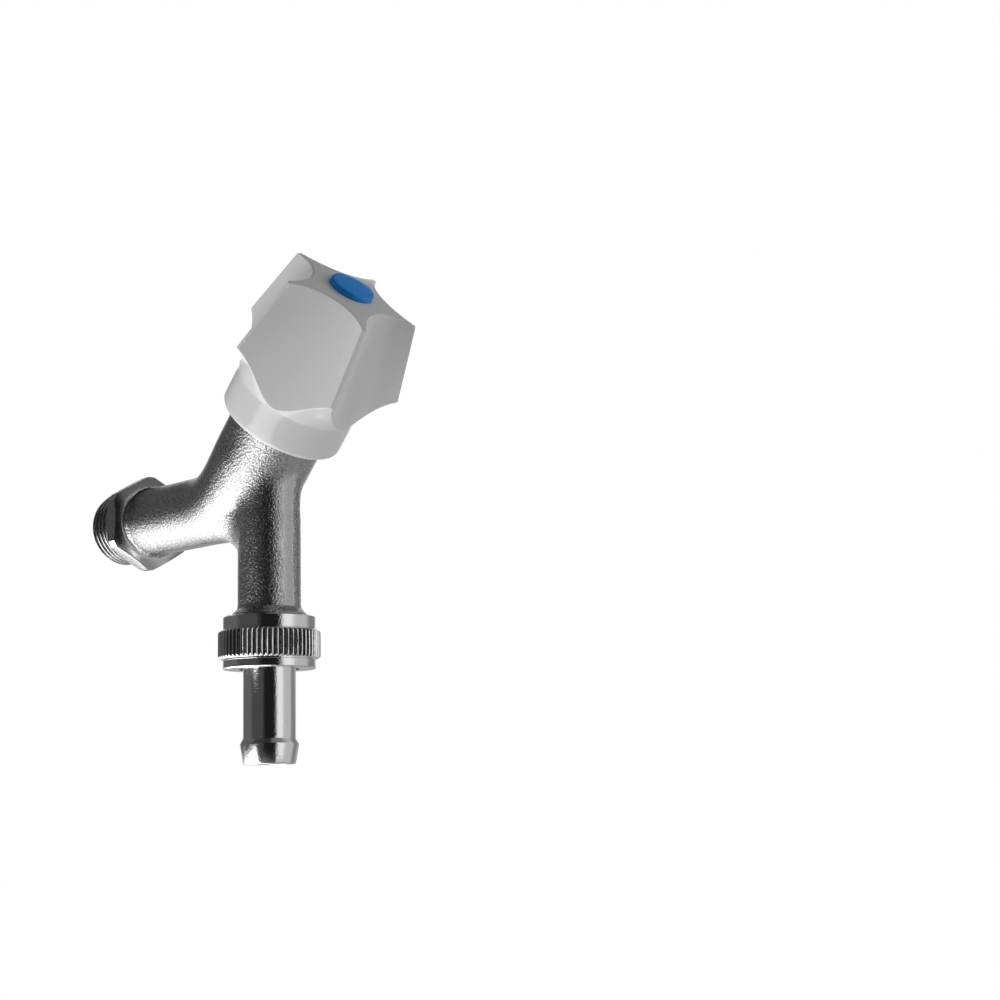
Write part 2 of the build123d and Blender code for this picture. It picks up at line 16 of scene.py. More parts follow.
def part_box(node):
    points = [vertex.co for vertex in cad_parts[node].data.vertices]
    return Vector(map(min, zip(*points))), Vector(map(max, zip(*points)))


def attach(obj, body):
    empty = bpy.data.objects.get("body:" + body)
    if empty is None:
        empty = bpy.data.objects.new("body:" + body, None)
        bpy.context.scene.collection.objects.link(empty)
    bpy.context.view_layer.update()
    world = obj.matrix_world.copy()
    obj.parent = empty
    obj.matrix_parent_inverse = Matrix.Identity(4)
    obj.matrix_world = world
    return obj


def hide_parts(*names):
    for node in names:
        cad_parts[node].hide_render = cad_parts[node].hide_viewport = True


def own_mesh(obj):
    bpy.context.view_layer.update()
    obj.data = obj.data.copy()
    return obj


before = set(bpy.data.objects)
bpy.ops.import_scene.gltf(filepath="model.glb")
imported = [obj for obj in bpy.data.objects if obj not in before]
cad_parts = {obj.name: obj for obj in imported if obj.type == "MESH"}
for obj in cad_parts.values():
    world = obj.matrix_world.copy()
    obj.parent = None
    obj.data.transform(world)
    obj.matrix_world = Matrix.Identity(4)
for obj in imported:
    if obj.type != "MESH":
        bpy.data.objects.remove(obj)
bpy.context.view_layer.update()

# %% [markdown]
# ## Three axes of one tap
# Everything turned on the real tap is turned about one of three axes: the inlet's, the slanted
# stem's and the outlet's. Each gets a matrix, so a piece can be drawn upright in millimetres and
# then laid in its place. The place goes into the mesh, and the object stays at the origin.

# %% The three places
mm = 0.001
stem_reach = 47.6
outlet_reach = 61.2


def axis_place(origin, across, up):
    """Matrix from millimetres about an upright axis to metres about the tap's own axis."""
    side = Vector(up).cross(Vector(across))
    turn = Matrix((across, side, up)).transposed()
    return Matrix.Translation(Vector(origin) * mm) @ turn.to_4x4() @ Matrix.Scale(mm, 4)


slope = sqrt(0.5)
inlet_place = axis_place((0, 0, 0), (1, 0, 0), (0, 1, 0))
stem_place = axis_place((0, -stem_reach, 0), (1, 0, 0), (0, -slope, slope))
outlet_place = axis_place((0, -outlet_reach, 0), (1, 0, 0), (0, 0, 1))
print("stem leans along", [round(v, 3) for v in stem_place.to_3x3().normalized().col[2]])

# %% [markdown]
# ## Turned pieces
# A lathe makes most of a tap, and spinning an outline does the same work here. Corners that a
# turner would break get a small bevel, because a bare corner shows no line of light.

# %% Spin an outline


def spin(mesh, geom, steps, turns=1, rise=0.0, merge=False):
    """Spins part of a mesh round the upright axis; each step may rise a little."""
    bmesh.ops.spin(
        mesh,
        geom=geom,
        cent=(0, 0, 0),
        axis=(0, 0, 1),
        dvec=(0, 0, rise),
        angle=2 * pi * turns,
        steps=steps * turns,
        use_merge=merge,
        use_duplicate=False,
    )


def spun(outline, closed=False, steps=160):
    """Mesh of an outline of (radius, height) points spun once round the upright axis."""
    mesh = bmesh.new()
    points = [mesh.verts.new((radius, 0, height)) for radius, height in outline]
    pairs = list(zip(points, points[1:]))
    if closed:
        pairs.append((points[-1], points[0]))
    edges = [mesh.edges.new(pair) for pair in pairs]
    spin(mesh, points + edges, steps, merge=True)
    bmesh.ops.remove_doubles(mesh, verts=mesh.verts, dist=1e-5)
    bmesh.ops.recalc_face_normals(mesh, faces=mesh.faces)
    return mesh


def break_corners(mesh, width, over=25, segments=2):
    """Bevels every edge that turns by more than the given angle in degrees."""
    sharp = [
        edge
        for edge in mesh.edges
        if len(edge.link_faces) == 2 and edge.calc_face_angle(0) > radians(over)
    ]
    bmesh.ops.bevel(
        mesh,
        geom=sharp,
        offset=width,
        offset_type="OFFSET",
        affect="EDGES",
        segments=segments,
        profile=0.5,
        material=-1,
        clamp_overlap=True,
    )


# %% Turn a mesh into a piece


def set_out(name, mesh):
    """Object in the scene that takes over a bmesh."""
    data = bpy.data.meshes.new(name)
    mesh.to_mesh(data)
    mesh.free()
    thing = bpy.data.objects.new(name, data)
    bpy.context.scene.collection.objects.link(thing)
    return thing


def finished(name, mesh, place, body, finish, stands_for=(), flat_over=40):
    """Piece with its place in its mesh, riding on a body and wearing a finish."""
    mesh.transform(place)
    piece = set_out(name, mesh)
    data = piece.data
    data.shade_smooth()
    data.set_sharp_from_angle(angle=radians(flat_over))
    for material in finish:
        data.materials.append(material)
    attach(piece, body)
    if stands_for:
        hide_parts(*stands_for)
    faces = len(data.polygons)
    print(name, "faces", faces, "spans", [round(side / mm, 1) for side in piece.dimensions])
    return piece


# %% [markdown]
# ## Shared surface effects
# Plated brass, moulded plastic and rubber all need a surface that is not perfectly even. Three
# node groups serve them all: grain for blasted or moulded skins, turning marks for lathe work,
# and the ground land that a casting keeps where its flash was ground off along the parting line.

# %% Start a node group


def effect_group(name, inputs, outputs):
    """Empty shader group with float inputs (name, value) and outputs (name, socket type)."""
    group = bpy.data.node_groups.new(name, "ShaderNodeTree")
    for label, value in inputs:
        socket = group.interface.new_socket(label, in_out="INPUT", socket_type="NodeSocketFloat")
        socket.default_value = value
    for label, kind in outputs:
        group.interface.new_socket(label, in_out="OUTPUT", socket_type=kind)
    source = group.nodes.new("NodeGroupInput")
    target = group.nodes.new("NodeGroupOutput")
    return group, source, target


def math_node(tree, operation, first, second=None, third=None):
    """Math node whose inputs are sockets or plain numbers; returns its output."""
    node = tree.nodes.new("ShaderNodeMath")
    node.operation = operation
    for place, value in enumerate((first, second, third)):
        if value is None:
            continue
        if isinstance(value, (int, float)):
            node.inputs[place].default_value = value
        else:
            tree.links.new(value, node.inputs[place])
    return node.outputs[0]


def eased(tree, value, start, end):
    """Nought before one value of a socket, one past another and smooth in between."""
    step = tree.nodes.new("ShaderNodeMapRange")
    step.interpolation_type = "SMOOTHSTEP"
    step.inputs["From Min"].default_value = start
    step.inputs["From Max"].default_value = end
    tree.links.new(value, step.inputs["Value"])
    return step.outputs[0]


# %% Grain
clump_scale = 0.12
pit_shade_start, pit_shade_full = 0.58, 0.42
grain, source, target = effect_group(
    "grain",
    [("Size mm", 0.3), ("Clumping", 0.5), ("Shift", 0.0)],
    [("Height", "NodeSocketFloat"), ("Clumps", "NodeSocketFloat"), ("Pit shade", "NodeSocketFloat")],
)
links = grain.links
where = grain.nodes.new("ShaderNodeTexCoord")
fine = grain.nodes.new("ShaderNodeTexNoise")
fine.noise_dimensions = "4D"
fine.inputs["Detail"].default_value = 2.0
fine.inputs["Roughness"].default_value = 0.6
coarse = grain.nodes.new("ShaderNodeTexNoise")
coarse.noise_dimensions = "4D"
coarse.inputs["Detail"].default_value = 3.0
per_metre = math_node(grain, "DIVIDE", 1 / mm, source.outputs["Size mm"])
links.new(where.outputs["Object"], fine.inputs["Vector"])
links.new(where.outputs["Object"], coarse.inputs["Vector"])
links.new(per_metre, fine.inputs["Scale"])
links.new(math_node(grain, "MULTIPLY", per_metre, clump_scale), coarse.inputs["Scale"])
links.new(source.outputs["Shift"], fine.inputs["W"])
links.new(source.outputs["Shift"], coarse.inputs["W"])
clumped = math_node(grain, "MULTIPLY", coarse.outputs["Fac"], source.outputs["Clumping"])
links.new(math_node(grain, "ADD", fine.outputs["Fac"], clumped), target.inputs["Height"])
links.new(coarse.outputs["Fac"], target.inputs["Clumps"])
# The lowest parts of the fine grain give a mask for painted shade, a darker colour standing for
# each pit's own shadow.
links.new(eased(grain, fine.outputs["Fac"], pit_shade_start, pit_shade_full), target.inputs["Pit shade"])
print("grain group has", len(grain.nodes), "nodes")

# %% Turning marks
turning, source, target = effect_group(
    "turning marks",
    [("Distance m", 0.0), ("Mark mm", 0.12)],
    [("Height", "NodeSocketFloat")],
)
marks = turning.nodes.new("ShaderNodeTexNoise")
marks.noise_dimensions = "1D"
marks.inputs["Detail"].default_value = 4.0
marks.inputs["Scale"].default_value = 1.0
per_metre = math_node(turning, "DIVIDE", 1 / mm, source.outputs["Mark mm"])
along = math_node(turning, "MULTIPLY", source.outputs["Distance m"], per_metre)
turning.links.new(along, marks.inputs["W"])
turning.links.new(marks.outputs["Fac"], target.inputs["Height"])
print("turning group has", len(turning.nodes), "nodes")

# %% Ground land along the parting line
noise_gain = 4.0
border_outside, border_inside = -0.5, 0.3
land, source, target = effect_group(
    "ground land",
    [("Half width mm", 1.5), ("Waver mm", 0.5), ("Levelling", 0.5)],
    [("Mask", "NodeSocketFloat"), ("Normal", "NodeSocketVector")],
)
links = land.links
where = land.nodes.new("ShaderNodeTexCoord")
parts = land.nodes.new("ShaderNodeSeparateXYZ")
links.new(where.outputs["Object"], parts.inputs[0])
wander = land.nodes.new("ShaderNodeTexNoise")
wander.inputs["Scale"].default_value = 220.0
wander.inputs["Detail"].default_value = 4.0
links.new(where.outputs["Object"], wander.inputs["Vector"])
centred = math_node(land, "SUBTRACT", wander.outputs["Fac"], 0.5)
waver = math_node(land, "MULTIPLY", centred, noise_gain)
waver = math_node(land, "MULTIPLY", waver, source.outputs["Waver mm"])
half = math_node(land, "ADD", source.outputs["Half width mm"], waver)
away = math_node(land, "MULTIPLY", math_node(land, "ABSOLUTE", parts.outputs["X"]), 1 / mm)
depth_in = math_node(land, "SUBTRACT", half, away)
mask = eased(land, depth_in, border_outside, border_inside)
facing = land.nodes.new("ShaderNodeNewGeometry")
level = land.nodes.new("ShaderNodeVectorMath")
level.operation = "MULTIPLY"
level.inputs[1].default_value = (0.0, 1.0, 1.0)
links.new(facing.outputs["Normal"], level.inputs[0])
blend = land.nodes.new("ShaderNodeMix")
blend.data_type = "VECTOR"
levelled = math_node(land, "MULTIPLY", mask, source.outputs["Levelling"])
links.new(levelled, blend.inputs["Factor"])
links.new(facing.outputs["Normal"], blend.inputs[4])
links.new(level.outputs[0], blend.inputs[5])
unit = land.nodes.new("ShaderNodeVectorMath")
unit.operation = "NORMALIZE"
links.new(blend.outputs[1], unit.inputs[0])
links.new(mask, target.inputs["Mask"])
links.new(unit.outputs[0], target.inputs["Normal"])
print("land group has", len(land.nodes), "nodes")

# %% [markdown]
# ## Metal finishes
# The body is cast, blasted and then plated, so it reflects like chrome but each grain tilts the
# reflection a little. The nut and the tail are turned and polished before plating. The threads
# are turned after casting and show fine marks round their axis.

# %% A plated metal


def place_group(tree, group, **values):
    """Adds a group to a material and sets its inputs."""
    node = tree.nodes.new("ShaderNodeGroup")
    node.node_tree = group
    for label, value in values.items():
        node.inputs[label.replace("_", " ")].default_value = value
    return node


def new_finish(name, colour, metallic, roughness, **sockets):
    """Material with its plain values on the shader's own sockets."""
    material = bpy.data.materials.new(name)
    material.use_nodes = True
    shader = material.node_tree.nodes["Principled BSDF"]
    shader.inputs["Base Color"].default_value = (*colour, 1)
    shader.inputs["Metallic"].default_value = metallic
    shader.inputs["Roughness"].default_value = roughness
    for label, value in sockets.items():
        shader.inputs[label.replace("_", " ")].default_value = value
    return material, material.node_tree, shader


def add_bump(tree, shader, height, strength, depth_mm, normal=None):
    """Bump under the shader's normal, from a height socket."""
    bump = tree.nodes.new("ShaderNodeBump")
    bump.inputs["Strength"].default_value = strength
    bump.inputs["Distance"].default_value = depth_mm * mm
    tree.links.new(height, bump.inputs["Height"])
    if normal is not None:
        tree.links.new(normal, bump.inputs["Normal"])
    tree.links.new(bump.outputs[0], shader.inputs["Normal"])
    return bump


def mixed_colour(tree, shader, mask, plain, masked):
    """Base colour that runs from one grey to another with a mask."""
    blend = tree.nodes.new("ShaderNodeMix")
    blend.data_type = "RGBA"
    blend.inputs[6].default_value = (*plain, 1)
    blend.inputs[7].default_value = (*masked, 1)
    tree.links.new(mask, blend.inputs["Factor"])
    tree.links.new(blend.outputs[2], shader.inputs["Base Color"])


def mixed_roughness(tree, shader, mask, low, high):
    """Roughness that runs from low to high with a mask."""
    span = tree.nodes.new("ShaderNodeMapRange")
    span.inputs["To Min"].default_value = low
    span.inputs["To Max"].default_value = high
    tree.links.new(mask, span.inputs["Value"])
    tree.links.new(span.outputs[0], shader.inputs["Roughness"])


# %% Blasted chrome of the casting
blasted_chrome, tree, shader = new_finish("blasted chrome", (0.55, 0.55, 0.555), 1.0, 0.24)
skin = place_group(tree, grain, Size_mm=0.52, Clumping=0.3)
ground = place_group(tree, land, Half_width_mm=1.7, Waver_mm=0.9, Levelling=0.5)
mixed_roughness(tree, shader, ground.outputs["Mask"], 0.24, 0.2)
quiet = math_node(tree, "MULTIPLY_ADD", ground.outputs["Mask"], -0.75, 1.0)
height = math_node(tree, "MULTIPLY", skin.outputs["Height"], quiet)
add_bump(tree, shader, height, 1.0, 0.21, ground.outputs["Normal"])
# The darker grey in the pits is painted shade, dulled where the land is ground smooth.
shaded = math_node(tree, "MULTIPLY", skin.outputs["Pit shade"], quiet)
mixed_colour(tree, shader, shaded, (0.6, 0.6, 0.605), (0.37, 0.37, 0.375))

# %% Coarse cast flats of the hexagon
cast_flats, tree, shader = new_finish("coarse cast chrome", (0.72, 0.72, 0.725), 1.0, 0.18)
skin = place_group(tree, grain, Size_mm=0.5, Clumping=0.9, Shift=3.0)
add_bump(tree, shader, skin.outputs["Height"], 1.0, 0.18)
mixed_roughness(tree, shader, skin.outputs["Clumps"], 0.14, 0.26)
# The darker grey in the pits is painted shade.
mixed_colour(tree, shader, skin.outputs["Pit shade"], (0.5, 0.5, 0.505), (0.36, 0.36, 0.365))

# %% Turned chrome of the threads


def turned_chrome_finish(name, axis, centre, colour, roughness, mark_mm, mark_depth, fleck_depth):
    """Plated lathe work: marks run round a straight axis, and fine flecks tilt the reflection."""
    material, tree, shader = new_finish(name, colour, 1.0, roughness)
    where = tree.nodes.new("ShaderNodeTexCoord")
    parts = tree.nodes.new("ShaderNodeSeparateXYZ")
    tree.links.new(where.outputs["Object"], parts.inputs[0])
    sideways = tree.nodes.new("ShaderNodeVectorMath")
    sideways.operation = "MULTIPLY_ADD"
    sideways.inputs[1].default_value = {"Y": (1, 0, 1), "Z": (1, 1, 0)}[axis]
    sideways.inputs[2].default_value = centre
    tree.links.new(where.outputs["Object"], sideways.inputs[0])
    reach = tree.nodes.new("ShaderNodeVectorMath")
    reach.operation = "LENGTH"
    tree.links.new(sideways.outputs[0], reach.inputs[0])
    marks = place_group(tree, turning, Mark_mm=mark_mm)
    along = math_node(tree, "ADD", parts.outputs[axis], reach.outputs["Value"])
    tree.links.new(along, marks.inputs["Distance m"])
    flecks = place_group(tree, grain, Size_mm=0.4, Clumping=0.5, Shift=7.0)
    bump = add_bump(tree, shader, marks.outputs["Height"], 1.0, mark_depth)
    fleck_bump = tree.nodes.new("ShaderNodeBump")
    fleck_bump.inputs["Distance"].default_value = fleck_depth * mm
    tree.links.new(flecks.outputs["Height"], fleck_bump.inputs["Height"])
    tree.links.new(fleck_bump.outputs[0], bump.inputs["Normal"])
    mixed_roughness(tree, shader, flecks.outputs["Clumps"], roughness * 0.75, roughness * 1.4)
    return material


thread_chrome = turned_chrome_finish(
    "turned chrome",
    axis="Y",
    centre=(0, 0, 0),
    colour=(0.64, 0.64, 0.645),
    roughness=0.2,
    mark_mm=0.3,
    mark_depth=0.012,
    fleck_depth=0.02,
)
polished_chrome = turned_chrome_finish(
    "polished chrome",
    axis="Z",
    centre=(0, outlet_reach * mm, 0),
    colour=(0.87, 0.875, 0.875),
    roughness=0.07,
    mark_mm=0.5,
    mark_depth=0.0015,
    fleck_depth=0.05,
)
print("metal finishes", [m.name for m in bpy.data.materials if "chrome" in m.name])

# %% [markdown]
# ## Plastic, rubber and brass
# The handle and its cap are moulded in a glossy plastic that spreads light softly. The valve in
# the inlet is a duller plastic. Brass, steel and rubber only show when the tap is taken apart.

# %% Moulded and machined finishes


def moulded_finish(name, colour, roughness, orange_peel, size_mm, shift, **sockets):
    """Plastic with a faint skin from its mould and slightly uneven gloss."""
    material, tree, shader = new_finish(name, colour, 0.0, roughness, **sockets)
    skin = place_group(tree, grain, Size_mm=size_mm, Clumping=1.0, Shift=shift)
    add_bump(tree, shader, skin.outputs["Height"], 0.5, orange_peel)
    mixed_roughness(tree, shader, skin.outputs["Clumps"], roughness * 0.8, roughness * 1.2)
    return material


# Colour, roughness, depth and size of the skin's grain in millimetres, and the grain's shift.
handle_plastic = moulded_finish(
    "grey gloss plastic", (0.42, 0.42, 0.42), 0.1, 0.004, 1.2, 1.0, IOR=1.5
)
cap_plastic = moulded_finish("blue gloss plastic", (0.0, 0.17, 0.5), 0.1, 0.002, 1.4, 2.0)
valve_plastic = moulded_finish("warm grey plastic", (0.37, 0.345, 0.315), 0.42, 0.006, 0.6, 4.0)
poppet_plastic = moulded_finish("dark grey plastic", (0.065, 0.065, 0.068), 0.38, 0.006, 0.5, 5.0)
rubber = moulded_finish("black rubber", (0.022, 0.022, 0.023), 0.6, 0.01, 0.5, 6.0)
fibre = moulded_finish("red fibre", (0.3, 0.09, 0.05), 0.75, 0.03, 0.3, 8.0)


def machined_finish(name, colour, roughness, size_mm, shift):
    """Bare machined metal with fine uneven marks."""
    material, tree, shader = new_finish(name, colour, 1.0, roughness)
    skin = place_group(tree, grain, Size_mm=size_mm, Clumping=0.7, Shift=shift)
    add_bump(tree, shader, skin.outputs["Height"], 0.4, 0.006)
    mixed_roughness(tree, shader, skin.outputs["Clumps"], roughness * 0.7, roughness * 1.3)
    return material


brass = machined_finish("machined brass", (0.78, 0.57, 0.27), 0.26, 0.2, 9.0)
steel = machined_finish("spring steel", (0.56, 0.56, 0.57), 0.3, 0.15, 10.0)
print("finishes in all:", len(bpy.data.materials))

# %% [markdown]
# ## The cast body
# The real body is one casting, and its branches melt into each other with soft corners. A voxel
# remesh of the welded solid does what the sand and the blasting did: it evens the skin and takes
# the edge off every corner. The hexagon and the threads are cut off first, since they are crisp.
# The crook between stem tube and outlet is evened most, and the sawn end is drawn in so that it
# stays behind the new hexagon's face.

# %% Weld and cut the casting
shoulder_drop = 31.2
shoulder_gap = 0.05
hexagon_width = 6.3

casting = bmesh.new()
casting.from_mesh(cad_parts["body"].data)
bmesh.ops.remove_doubles(casting, verts=casting.verts, dist=1e-6)


def cut_off(mesh, point, direction, dist=1e-5):
    """Cuts away what lies past a plane and returns the edges of the cut."""
    cut = bmesh.ops.bisect_plane(
        mesh,
        geom=mesh.verts[:] + mesh.edges[:] + mesh.faces[:],
        dist=dist,
        plane_co=point,
        plane_no=direction,
        clear_outer=True,
    )
    return [piece for piece in cut["geom_cut"] if isinstance(piece, bmesh.types.BMEdge)]


saw_cuts = (
    ((0, -hexagon_width * mm * 0.5, 0), (0, 1, 0)),
    ((0, 0, -(shoulder_drop - shoulder_gap) * mm), (0, 0, -1)),
)
for point, direction in saw_cuts:
    rim = cut_off(casting, point, direction, dist=1e-7)
    bmesh.ops.triangle_fill(casting, use_beauty=True, edges=rim)
bmesh.ops.recalc_face_normals(casting, faces=casting.faces)
print("open edges left on the casting:", sum(1 for e in casting.edges if not e.is_manifold))

# %% Remesh and smooth the casting
skin_voxel = 0.42
skin_passes = 6
crook_passes = 110
crook_back = -58.0
crook_low, crook_high = -6.0, 16.0
tuck_start = hexagon_width + 0.12
tuck_share = 0.92
tuck_depth = 0.5

blank = set_out("casting_blank", casting)
remesh = blank.modifiers.new("even skin", "REMESH")
remesh.mode = "VOXEL"
remesh.voxel_size = skin_voxel * mm
remesh.adaptivity = 0.0
shaped = bpy.data.meshes.new_from_object(
    blank.evaluated_get(bpy.context.evaluated_depsgraph_get())
)
bpy.data.objects.remove(blank)
casting = bmesh.new()
casting.from_mesh(shaped)
crook = [
    vert
    for vert in casting.verts
    if vert.co.y < crook_back * mm and crook_low * mm < vert.co.z < crook_high * mm
]
for passes, verts in ((skin_passes, casting.verts), (crook_passes, crook)):
    for _ in range(passes):
        bmesh.ops.smooth_vert(
            casting, verts=verts, factor=0.5, use_axis_x=True, use_axis_y=True, use_axis_z=True
        )
print("points evened in the crook:", len(crook))
tucked = [vert for vert in casting.verts if vert.co.y > -tuck_start * mm]
bmesh.ops.scale(casting, verts=tucked, vec=(tuck_share, 1, tuck_share))
bmesh.ops.translate(casting, verts=tucked, vec=(0, tuck_depth * mm, 0))
print("points tucked behind the hexagon's face:", len(tucked))
finished(
    "tap_casting",
    casting,
    Matrix.Identity(4),
    "tap_body",
    [blasted_chrome],
    stands_for=("body",),
    flat_over=180,
)

# %% [markdown]
# ## The hexagon
# A spanner holds this hexagon while the tap is screwed in. It is a turned blank with six flats
# milled on it, so it is made the same way: spun with a soft front face and both corners cut to a
# cone, then cut six times. The flats keep the rough cast skin, and the turned parts are bright.

# %% Cut six flats on a turned blank
hexagon_flats = 24.0
hexagon_bore = 8.2
face_radius = 10.9
corner_radius = 13.3
cone_slope = 0.577
cone_rise = (corner_radius - face_radius) * cone_slope
hexagon = spun(
    [
        (hexagon_bore, -hexagon_width),
        (9.3, -hexagon_width + 0.02),
        (9.9, -hexagon_width + 0.1),
        (10.4, -hexagon_width + 0.24),
        (face_radius, -hexagon_width + 0.45),
        (corner_radius, cone_rise - hexagon_width + 0.3),
        (corner_radius, -cone_rise),
        (face_radius, 0),
        (hexagon_bore, 0),
    ],
    closed=True,
    steps=180,
)
for side in range(6):
    angle = radians(60 * side)
    direction = Vector((cos(angle), sin(angle), 0))
    rim = cut_off(hexagon, direction * hexagon_flats / 2, direction)
    made = bmesh.ops.edgeloop_fill(hexagon, edges=rim)
    for face in made["faces"]:
        face.material_index = 1
bmesh.ops.recalc_face_normals(hexagon, faces=hexagon.faces)
break_corners(hexagon, 0.16, over=20)
finished(
    "inlet_hexagon",
    hexagon,
    inlet_place,
    "tap_body",
    [thread_chrome, cast_flats],
    flat_over=18,
)

# %% [markdown]
# ## Pipe threads
# A pipe thread has rounded crests and roots, so one turn of its outline is close to a wave. The
# wave is spun with a rise of one pitch a turn, trimmed square at both ends, and its cut rims are
# drawn in to a plain core, as a lathe leaves a relief beside a shoulder.

# %% Spin a thread
pitch = 1.814
crest = 20.955 / 2
depth = 1.162
core_radius = crest - depth - 0.15
wave_steps = 12


def threaded(low, high, steps=120):
    """Right-hand thread on the upright axis between two heights, closed to its core."""
    mesh = bmesh.new()
    points = []
    for step in range(wave_steps + 1):
        share = step / wave_steps
        wave = (1 - cos(2 * pi * share)) / 2
        height = low - pitch + share * pitch
        points.append(mesh.verts.new((crest - depth + depth * wave, 0, height)))
    edges = [mesh.edges.new(pair) for pair in zip(points, points[1:])]
    turns = ceil((high - low) / pitch) + 2
    spin(mesh, points + edges, steps, turns, pitch / steps)
    bmesh.ops.remove_doubles(mesh, verts=mesh.verts, dist=1e-3)
    for height, way in ((low, -1), (high, 1)):
        rim = cut_off(mesh, (0, 0, height), (0, 0, way))
        drawn = bmesh.ops.extrude_edge_only(mesh, edges=rim)["geom"]
        for vert in (piece for piece in drawn if isinstance(piece, bmesh.types.BMVert)):
            reach = hypot(vert.co.x, vert.co.y)
            vert.co.x *= core_radius / reach
            vert.co.y *= core_radius / reach
    bmesh.ops.recalc_face_normals(mesh, faces=mesh.faces)
    return mesh


thread = threaded(0.55, 9.35)
finished(
    "inlet_thread", thread, inlet_place, "tap_body", [thread_chrome], flat_over=60
)

# %% The inlet's core, end ring and bore
inlet_end = 10.8
inlet_bore = 7.95
end_ring = spun(
    [
        (core_radius, 0.2),
        (core_radius, 9.3),
        (9.55, 9.36),
        (9.95, 9.75),
        (9.98, 10.1),
        (9.7, 10.55),
        (9.2, inlet_end),
        (8.5, inlet_end),
        (inlet_bore, inlet_end - 0.45),
        (inlet_bore, -4.9),
    ]
)
break_corners(end_ring, 0.12, over=28, segments=3)
finished(
    "inlet_end_ring", end_ring, inlet_place, "tap_body", [thread_chrome], flat_over=50
)

# %% The outlet's thread
outlet_end = shoulder_drop + 7.0
outlet_bore = 5.0
thread = threaded(-outlet_end + 0.75, -shoulder_drop - 0.5)
finished(
    "outlet_thread", thread, outlet_place, "tap_body", [polished_chrome], flat_over=60
)
outlet_core = spun(
    [
        (outlet_bore, -shoulder_drop + 2),
        (outlet_bore, -outlet_end),
        (9.0, -outlet_end),
        (9.55, -outlet_end + 0.55),
        (core_radius, -outlet_end + 0.85),
        (core_radius, -shoulder_drop + 0.4),
    ]
)
break_corners(outlet_core, 0.1, over=28)
finished("outlet_core", outlet_core, outlet_place, "tap_body", [polished_chrome])

# %% [markdown]
# ## The valve in the inlet
# A small plastic cage sits in the inlet with its face just inside the end ring, and a dark poppet
# closes its hole. Both are turned shapes with broken edges; the poppet has a stepped hole.

# %% Cage and poppet
valve_face = 8.3
cage_hole = 4.6
cage_lip = valve_face - 2.0
cage_end = valve_face - 11.2
cage_radius = 7.9
cage_inside = 6.15
cage = spun(
    [
        (cage_hole, cage_lip),
        (cage_hole, valve_face),
        (7.15, valve_face),
        (7.35, valve_face - 0.2),
        (7.35, valve_face - 1.1),
        (cage_radius, valve_face - 1.4),
        (cage_radius, cage_end),
        (cage_inside, cage_end),
        (cage_inside, cage_lip),
    ],
    closed=True,
)
break_corners(cage, 0.12, over=30)
finished(
    "valve_cage", cage, inlet_place, "tap_body", [valve_plastic], ("check_cage",)
)

poppet_face = valve_face - 0.3
poppet_radius = 4.4
seat_radius = 5.45
seat_top = poppet_face - 2.7
seat_floor = poppet_face - 3.9
stem_radius = 1.6
poppet_end = poppet_face - 11.9
poppet = spun(
    [
        (0, poppet_face - 3.2),
        (1.05, poppet_face - 3.2),
        (1.1, poppet_face - 2.0),
        (1.5, poppet_face - 1.9),
        (1.55, poppet_face - 1.1),
        (1.9, poppet_face - 0.9),
        (1.9, poppet_face - 0.25),
        (2.2, poppet_face),
        (3.5, poppet_face),
        (3.6, poppet_face - 0.12),
        (3.7, poppet_face),
        (4.2, poppet_face),
        (poppet_radius, poppet_face - 0.2),
        (poppet_radius, seat_top),
        (seat_radius, seat_top),
        (seat_radius, seat_floor),
        (stem_radius, seat_floor),
        (stem_radius, poppet_end + 0.3),
        (stem_radius - 0.3, poppet_end),
        (0, poppet_end),
    ]
)
break_corners(poppet, 0.06, over=35)
finished(
    "valve_poppet",
    poppet,
    inlet_place,
    "poppet_group",
    [poppet_plastic],
    ("check_poppet",),
)

# %% [markdown]
# ## The closing spring
# A small wire spring holds the poppet shut. It is spun like a thread, from a round section that
# climbs as it goes.

# %% Wind the spring
spring_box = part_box("check_spring")
spring_low, spring_high = (corner.y / mm for corner in spring_box)
spring_reach = (spring_box[1].x - spring_box[0].x) / mm / 2
spring_length = spring_high - spring_low
wire_radius = 0.28
wire_inset = 0.02
spring_turns = 5
steps_a_turn = 48
climb = (spring_length - 2 * wire_radius) / (spring_turns * steps_a_turn)
spring = bmesh.new()
coil_radius = spring_reach - wire_radius - wire_inset
section_place = Matrix.Translation((coil_radius, 0, spring_low + wire_radius))
bmesh.ops.create_circle(
    spring,
    cap_ends=True,
    radius=wire_radius,
    segments=12,
    matrix=section_place @ Matrix.Rotation(pi / 2, 4, "X"),
)
spin(spring, spring.faces[:], steps_a_turn, spring_turns, climb)
bmesh.ops.recalc_face_normals(spring, faces=spring.faces)
closing_spring = finished(
    "closing_spring", spring, inlet_place, "tap_body", [steel], ("check_spring",)
)
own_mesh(closing_spring)

# %% [markdown]
# ## The handle
# The grip is a five-lobed star with hollow flutes, moulded round a turned form: a short skirt, a
# neck that curves outwards under the lobes and a slightly domed top. Booleans could cut the
# flutes, but their cuts leave ragged edges that bevel badly. Here a sleeve of rings is drawn in
# instead. In every direction it gets the same number of points up the skirt, up the neck and up
# the flute, so the crease between neck and flute runs along one ring and takes an even round.

# %% Sizes of the handle
lobes = 5
phase = 37.0
skirt_radius = 16.6
skirt_height = 9.8
skirt_round = 1.5
skirt_inside = 14.9
foot_height = 20.2
foot_radius = 24.03
neck_curve = 16.0
top_radius = 18.8
handle_height = 40.9
tip_width = 1.3
tip_rise = 0.45
tip_round = 0.45
floor_top = 10.6
floor_foot = skirt_radius + 0.2
dome_rise = 1.1
handle_bottom = 26.6
band = foot_radius + tip_rise
rise = handle_height - foot_height


def soft_min(first, second, round_size):
    """Lesser of two lengths, with the corner between them rounded off."""
    nearness = max(round_size - abs(first - second), 0) / round_size
    return min(first, second) - nearness * nearness * round_size / 4


